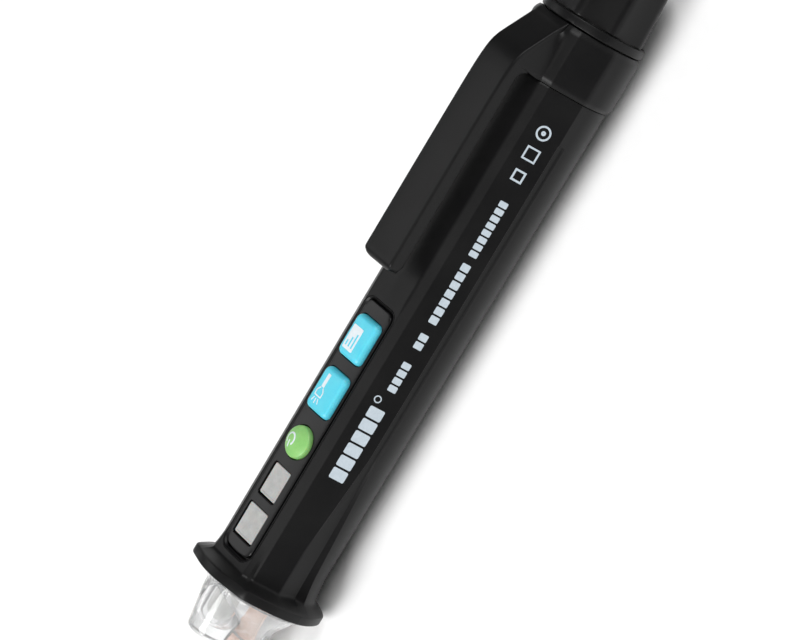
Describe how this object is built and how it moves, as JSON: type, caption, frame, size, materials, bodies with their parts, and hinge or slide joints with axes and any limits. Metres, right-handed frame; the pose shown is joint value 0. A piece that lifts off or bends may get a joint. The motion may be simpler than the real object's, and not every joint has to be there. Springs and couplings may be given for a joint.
{
  "type": "non contact voltage tester",
  "caption": "Pen-shaped non contact voltage tester with a clear probe nose and torch, guard flange, inlaid panel with buttons, pocket clip and a pull-off battery cap.",
  "frame": {"origin": "on the surface that the tester lies on, below the middle of its length", "axes": "+X along the pen towards the end cap, +Z out of the control panel, -Y the side that carries the printed marks"},
  "size_m": [0.16, 0.0256, 0.0292],
  "materials": {
    "black_plastic": "fine satin texture",
    "panel_black": "satin",
    "frosted": "frosted, translucent",
    "green": "satin",
    "teal": "satin",
    "switch_black": "moulded",
    "clear": "clear polycarbonate",
    "copper": "copper coloured foil",
    "contact_metal": "plated spring strip",
    "led": "clear epoxy",
    "led_red": "clear red epoxy",
    "seal_rubber": "moulded",
    "ceramic": "matt",
    "board_green": "solder resist",
    "steel": "plated",
    "frame_plastic": "moulded",
    "cell_jacket": "plain printed jacket"
  },
  "bodies": {
    "housing": {"barrel": "black_plastic", "panel_strip": "panel_black", "window_front": "frosted", "window_rear": "frosted", "power_switch": "switch_black", "torch_switch": "switch_black", "sensitivity_switch": "switch_black", "clear_nose": "clear", "sensor_plate": "copper", "sensor_lead": "contact_metal", "torch_led": "led", "nose_gasket": "seal_rubber", "signal_leds": "led_red", "buzzer": "switch_black", "controller_chip": "switch_black", "board_parts": "ceramic", "circuit_board": "board_green", "board_screws": "steel", "inner_frame": "frame_plastic", "battery_front": "cell_jacket", "battery_rear": "cell_jacket", "front_contact": "contact_metal", "contact_strip": "contact_metal", "clip_collar": "black_plastic"},
    "power_press": {"power_button": "green", "power_plunger": "switch_black"},
    "torch_press": {"torch_button": "teal", "torch_plunger": "switch_black"},
    "sensitivity_press": {"sensitivity_button": "teal", "sensitivity_plunger": "switch_black"},
    "cap": {"end_cap": "black_plastic", "cap_seal": "seal_rubber", "cap_contact": "contact_metal", "cap_spring": "steel"},
    "clip": {"clip_arm": "black_plastic"}
  },
  "joints": [
    {"name": "power_button_travel", "type": "slide", "parent": "housing", "child": "power_press", "axis": [0, 0, -1], "range_m": [0, 0.0005], "stiffness_N_per_m": 1500, "springref_m": -0.0005},
    {"name": "torch_button_travel", "type": "slide", "parent": "housing", "child": "torch_press", "axis": [0, 0, -1], "range_m": [0, 0.0005], "stiffness_N_per_m": 1500, "springref_m": -0.0005},
    {"name": "sensitivity_button_travel", "type": "slide", "parent": "housing", "child": "sensitivity_press", "axis": [0, 0, -1], "range_m": [0, 0.0005], "stiffness_N_per_m": 1500, "springref_m": -0.0005},
    {"name": "cap_pull", "type": "slide", "parent": "housing", "child": "cap", "axis": [1, 0, 0], "range_m": [0, 0.022]},
    {"name": "clip_flex", "type": "hinge", "parent": "housing", "child": "clip", "pos_m": [0.0556, 0, 0.02765], "axis": [0, 1, 0], "range_deg": [0, 5], "stiffness_Nm_per_rad": 5}
  ]
}
